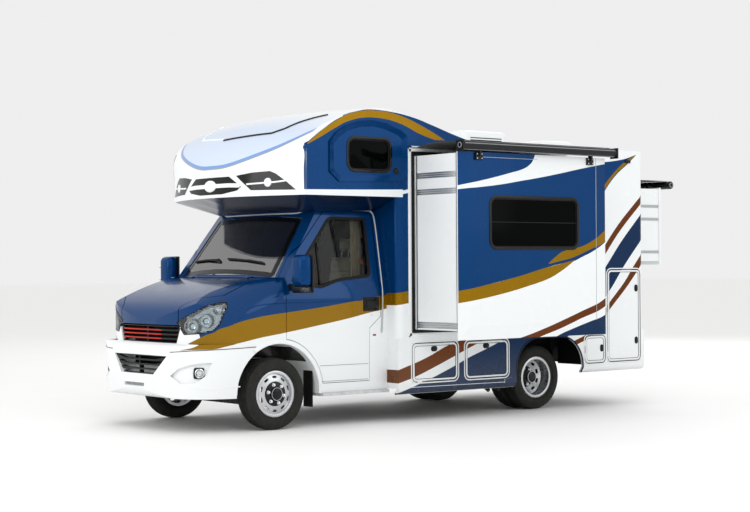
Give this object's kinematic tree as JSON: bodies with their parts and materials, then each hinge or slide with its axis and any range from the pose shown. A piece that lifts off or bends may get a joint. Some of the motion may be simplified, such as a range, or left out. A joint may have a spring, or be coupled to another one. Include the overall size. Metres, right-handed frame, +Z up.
{
  "type": "motorhome",
  "caption": "Coach-built motorhome with an overcab berth, side and rear slide-outs, twin rear wheels, steering, opening doors, bonnet and lockers.",
  "frame": {"origin": "on the ground, under the centre of the whole box", "axes": "+X towards the front, +Y to the vehicle's left, +Z up"},
  "size_m": [6.7464, 3.262, 3.148],
  "materials": {
    "black_plastic": "satin",
    "body_blue": "gloss",
    "body_white": "gloss",
    "cast_iron": "rough",
    "chassis_black": "satin",
    "dark_glass": "tinted",
    "dash_plastic": "grained",
    "fabric_black": "woven",
    "glass": "clear",
    "house_paint": "gloss",
    "lamp_clear": "clear",
    "roof_white": "gloss",
    "rubber": "matte",
    "seat_fabric": "woven",
    "steel": "satin",
    "tank_plastic": "matte",
    "tyre": "matte"
  },
  "bodies": {
    "chassis": {"lamps": "lamp_clear", "cab_shell": "body_blue", "front_bumper": "body_white", "grilles": "black_plastic", "chassis_frame": "chassis_black", "front_suspension": "chassis_black", "rear_axle": "chassis_black", "engine": "cast_iron", "tanks": "tank_plastic", "house_wall_front": "body_blue", "house_wall_rear": "house_paint", "house_wall_left": "house_paint", "house_wall_right": "house_paint", "house_roof": "roof_white", "house_floor": "dash_plastic", "overcab_cheeks": "body_blue", "overcab_cap": "roof_white", "overcab_floor": "body_blue", "fixed_glass": "dark_glass", "skirt_left": "house_paint", "skirt_right": "house_paint", "rear_bumper": "body_white", "locker_tubs": "tank_plastic", "topper_fabrics": "fabric_black", "dashboard": "dash_plastic", "cab_seats": "seat_fabric", "running_boards": "body_white", "mudflaps": "rubber", "roof_units": "roof_white"},
    "knuckle_left": {"knuckle_left": "cast_iron"},
    "knuckle_right": {"knuckle_right": "cast_iron"},
    "wheel_front_left": {"tyre_front_left": "tyre", "rim_front_left": "steel"},
    "wheels_rear_left": {"tyres_rear_left": "tyre", "rims_rear_left": "steel"},
    "cab_door_left": {"cab_door_left": "body_blue", "door_glass_left": "glass", "mirror_left": "body_blue"},
    "wheel_front_right": {"tyre_front_right": "tyre", "rim_front_right": "steel"},
    "wheels_rear_right": {"tyres_rear_right": "tyre", "rims_rear_right": "steel"},
    "cab_door_right": {"cab_door_right": "body_blue", "door_glass_right": "glass", "mirror_right": "body_blue"},
    "bonnet": {"bonnet": "body_blue"},
    "locker_door_1": {"locker_door_1": "house_paint"},
    "locker_door_2": {"locker_door_2": "house_paint"},
    "locker_door_3": {"locker_door_3": "house_paint"},
    "locker_door_4": {"locker_door_4": "house_paint"},
    "locker_door_5": {"locker_door_5": "house_paint"},
    "entry_door": {"entry_door": "house_paint"},
    "side_slide": {"side_slide_box": "house_paint", "side_slide_window": "dark_glass", "side_topper": "black_plastic"},
    "rear_slide": {"rear_slide_box": "house_paint", "rear_topper": "black_plastic"}
  },
  "joints": [
    {"name": "steer_left", "type": "hinge", "parent": "chassis", "child": "knuckle_left", "pos_m": [2.373, 0.429, 0.346], "axis": [0, 0, 1], "range_deg": [-35, 35]},
    {"name": "steer_right", "type": "hinge", "parent": "chassis", "child": "knuckle_right", "pos_m": [2.373, -1.091, 0.346], "axis": [0, 0, 1], "range_deg": [-35, 35]},
    {"name": "wheel_front_left_spin", "type": "hinge", "parent": "knuckle_left", "child": "wheel_front_left", "pos_m": [2.373, 0.532, 0.346], "axis": [0, 1, 0], "continuous": true},
    {"name": "wheels_rear_left_spin", "type": "hinge", "parent": "chassis", "child": "wheels_rear_left", "pos_m": [-1.077, 0.439, 0.346], "axis": [0, 1, 0], "continuous": true},
    {"name": "cab_door_left_swing", "type": "hinge", "parent": "chassis", "child": "cab_door_left", "pos_m": [2.281, 0.6723, 1], "axis": [0, 0, -1], "range_deg": [0, 60]},
    {"name": "wheel_front_right_spin", "type": "hinge", "parent": "knuckle_right", "child": "wheel_front_right", "pos_m": [2.373, -1.194, 0.346], "axis": [0, 1, 0], "continuous": true},
    {"name": "wheels_rear_right_spin", "type": "hinge", "parent": "chassis", "child": "wheels_rear_right", "pos_m": [-1.077, -1.101, 0.346], "axis": [0, 1, 0], "continuous": true},
    {"name": "cab_door_right_swing", "type": "hinge", "parent": "chassis", "child": "cab_door_right", "pos_m": [2.281, -1.3343, 1], "axis": [0, 0, 1], "range_deg": [0, 60]},
    {"name": "bonnet_lift", "type": "hinge", "parent": "chassis", "child": "bonnet", "pos_m": [2.347, -0.331, 1.464], "axis": [0, -1, 0], "range_deg": [0, 50]},
    {"name": "locker_door_1_swing", "type": "hinge", "parent": "chassis", "child": "locker_door_1", "pos_m": [0.56025, 0.8553, 0.394], "axis": [-1, 0, 0], "range_deg": [0, 90]},
    {"name": "locker_door_2_swing", "type": "hinge", "parent": "chassis", "child": "locker_door_2", "pos_m": [-0.15125, 0.8553, 0.394], "axis": [-1, 0, 0], "range_deg": [0, 90]},
    {"name": "locker_door_3_swing", "type": "hinge", "parent": "chassis", "child": "locker_door_3", "pos_m": [-1.606, 0.8553, 0.6325], "axis": [0, 0, -1], "range_deg": [0, 90]},
    {"name": "locker_door_4_swing", "type": "hinge", "parent": "chassis", "child": "locker_door_4", "pos_m": [-1.966, 0.8553, 0.9965], "axis": [0, 0, -1], "range_deg": [0, 90]},
    {"name": "locker_door_5_swing", "type": "hinge", "parent": "chassis", "child": "locker_door_5", "pos_m": [0.56025, -1.5173, 0.394], "axis": [1, 0, 0], "range_deg": [0, 90]},
    {"name": "entry_door_swing", "type": "hinge", "parent": "chassis", "child": "entry_door", "pos_m": [0.056, -1.5173, 1.7], "axis": [0, 0, 1], "range_deg": [0, 100]},
    {"name": "side_slide_travel", "type": "slide", "parent": "chassis", "child": "side_slide", "axis": [0, -1, 0], "range_m": [0, 0.64], "deforming": ["topper_fabrics"]},
    {"name": "rear_slide_travel", "type": "slide", "parent": "chassis", "child": "rear_slide", "axis": [1, 0, 0], "range_m": [0, 0.56], "deforming": ["topper_fabrics"]}
  ],
  "couplings": [
    {"joint": "steer_right", "follows": "steer_left", "ratio": 1}
  ]
}
